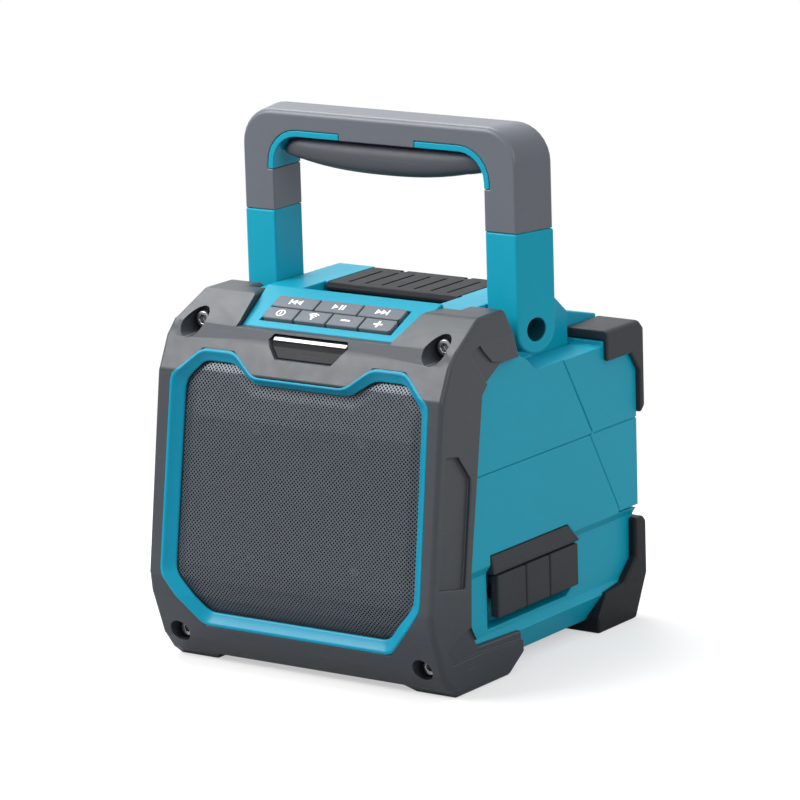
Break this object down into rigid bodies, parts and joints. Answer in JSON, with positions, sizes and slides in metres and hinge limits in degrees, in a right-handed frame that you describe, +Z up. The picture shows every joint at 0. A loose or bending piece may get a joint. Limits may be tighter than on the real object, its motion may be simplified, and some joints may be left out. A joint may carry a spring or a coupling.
{
  "type": "jobsite speaker",
  "caption": "Rugged cube speaker with bumper frame, perforated grille, sloping key panel, folding carry handle, hinged rear battery door and flapped side sockets.",
  "frame": {"origin": "on the ground under the middle of the speaker's box", "axes": "+Z up, front and grille towards -Y, flapped sockets on the +X side"},
  "size_m": [0.194, 0.217, 0.296],
  "materials": {
    "teal_plastic": "fine moulded grain",
    "grey_plastic": "fine moulded grain",
    "dark_rubber": "satin",
    "key_plastic": "satin",
    "mesh_metal": "satin black coat",
    "window_plastic": "gloss",
    "light_plastic": "translucent white",
    "steel": "plated",
    "ferrite": "matt",
    "board": "lacquered",
    "black_plastic": "satin",
    "soft_rubber": "matt",
    "cone_paper": "matt pulp",
    "cloth": "woven",
    "brass": "plain"
  },
  "bodies": {
    "body": {"front_bezel": "grey_plastic", "trim_ring": "teal_plastic", "grille": "mesh_metal", "front_screws": "steel", "light_window": "window_plastic", "light_strip": "light_plastic", "main_housing": "teal_plastic", "control_panel": "teal_plastic", "keypad_board": "board", "latch_pin": "steel", "door_pin": "steel", "rear_foot_right": "dark_rubber", "rear_foot_left": "dark_rubber", "port_bar": "dark_rubber", "aux_jack": "black_plastic", "usb_socket": "steel", "dc_jack": "black_plastic", "port_board": "board", "main_board": "board", "terminal_block": "black_plastic", "battery_blades": "brass", "baffle": "black_plastic", "driver_gasket": "soft_rubber", "driver_basket": "black_plastic", "driver_top_plate": "steel", "driver_magnet": "ferrite", "driver_yoke": "steel", "driver_surround": "soft_rubber", "driver_spider": "cloth", "driver_screws": "steel", "handle_pin_right": "steel", "handle_pin_left": "steel"},
    "handle": {"handle_frame": "teal_plastic", "handle_shell": "grey_plastic", "handle_grip": "dark_rubber"},
    "door": {"battery_door": "teal_plastic", "rear_guard_right": "dark_rubber", "rear_guard_left": "dark_rubber"},
    "latch": {"door_latch": "key_plastic"},
    "cone": {"driver_cone": "cone_paper", "driver_dust_cap": "cone_paper", "voice_coil": "brass"},
    "flap_aux": {"flap_aux": "dark_rubber"},
    "flap_usb": {"flap_usb": "dark_rubber"},
    "flap_power": {"flap_power": "dark_rubber"},
    "key_previous": {"button_previous": "key_plastic"},
    "key_play": {"button_play": "key_plastic"},
    "key_next": {"button_next": "key_plastic"},
    "key_power": {"button_power": "key_plastic"},
    "key_wireless": {"button_wireless": "key_plastic"},
    "key_minus": {"button_minus": "key_plastic"},
    "key_plus": {"button_plus": "key_plastic"}
  },
  "joints": [
    {"name": "handle_fold", "type": "hinge", "parent": "body", "child": "handle", "pos_m": [0, 0, 0.185], "axis": [-1, 0, 0], "range_deg": [0, 80]},
    {"name": "door_swing", "type": "hinge", "parent": "body", "child": "door", "pos_m": [0, 0.103, 0.063], "axis": [-1, 0, 0], "range_deg": [0, 90]},
    {"name": "latch_lift", "type": "hinge", "parent": "body", "child": "latch", "pos_m": [0, 0.0405, 0.1945], "axis": [-1, 0, 0], "range_deg": [0, 50]},
    {"name": "cone_stroke", "type": "slide", "parent": "body", "child": "cone", "axis": [0, -0.9905, 0.1377], "range_m": [-0.002, 0.002], "stiffness_N_per_m": 2000, "deforming": ["driver_surround", "driver_spider"]},
    {"name": "flap_aux_lift", "type": "hinge", "parent": "body", "child": "flap_aux", "pos_m": [0.0912, -0.0269, 0.0574], "axis": [0, -1, 0], "range_deg": [0, 100]},
    {"name": "flap_usb_lift", "type": "hinge", "parent": "body", "child": "flap_usb", "pos_m": [0.0912, -0.0011, 0.0574], "axis": [0, -1, 0], "range_deg": [0, 100]},
    {"name": "flap_power_lift", "type": "hinge", "parent": "body", "child": "flap_power", "pos_m": [0.0912, 0.02505, 0.0574], "axis": [0, -1, 0], "range_deg": [0, 100]},
    {"name": "press_previous", "type": "slide", "parent": "body", "child": "key_previous", "axis": [0, 0.417, -0.9089], "range_m": [0, 0.0008], "stiffness_N_per_m": 1500},
    {"name": "press_play", "type": "slide", "parent": "body", "child": "key_play", "axis": [0, 0.417, -0.9089], "range_m": [0, 0.0008], "stiffness_N_per_m": 1500},
    {"name": "press_next", "type": "slide", "parent": "body", "child": "key_next", "axis": [0, 0.417, -0.9089], "range_m": [0, 0.0008], "stiffness_N_per_m": 1500},
    {"name": "press_power", "type": "slide", "parent": "body", "child": "key_power", "axis": [0, 0.417, -0.9089], "range_m": [0, 0.0008], "stiffness_N_per_m": 1500},
    {"name": "press_wireless", "type": "slide", "parent": "body", "child": "key_wireless", "axis": [0, 0.417, -0.9089], "range_m": [0, 0.0008], "stiffness_N_per_m": 1500},
    {"name": "press_minus", "type": "slide", "parent": "body", "child": "key_minus", "axis": [0, 0.417, -0.9089], "range_m": [0, 0.0008], "stiffness_N_per_m": 1500},
    {"name": "press_plus", "type": "slide", "parent": "body", "child": "key_plus", "axis": [0, 0.417, -0.9089], "range_m": [0, 0.0008], "stiffness_N_per_m": 1500}
  ]
}
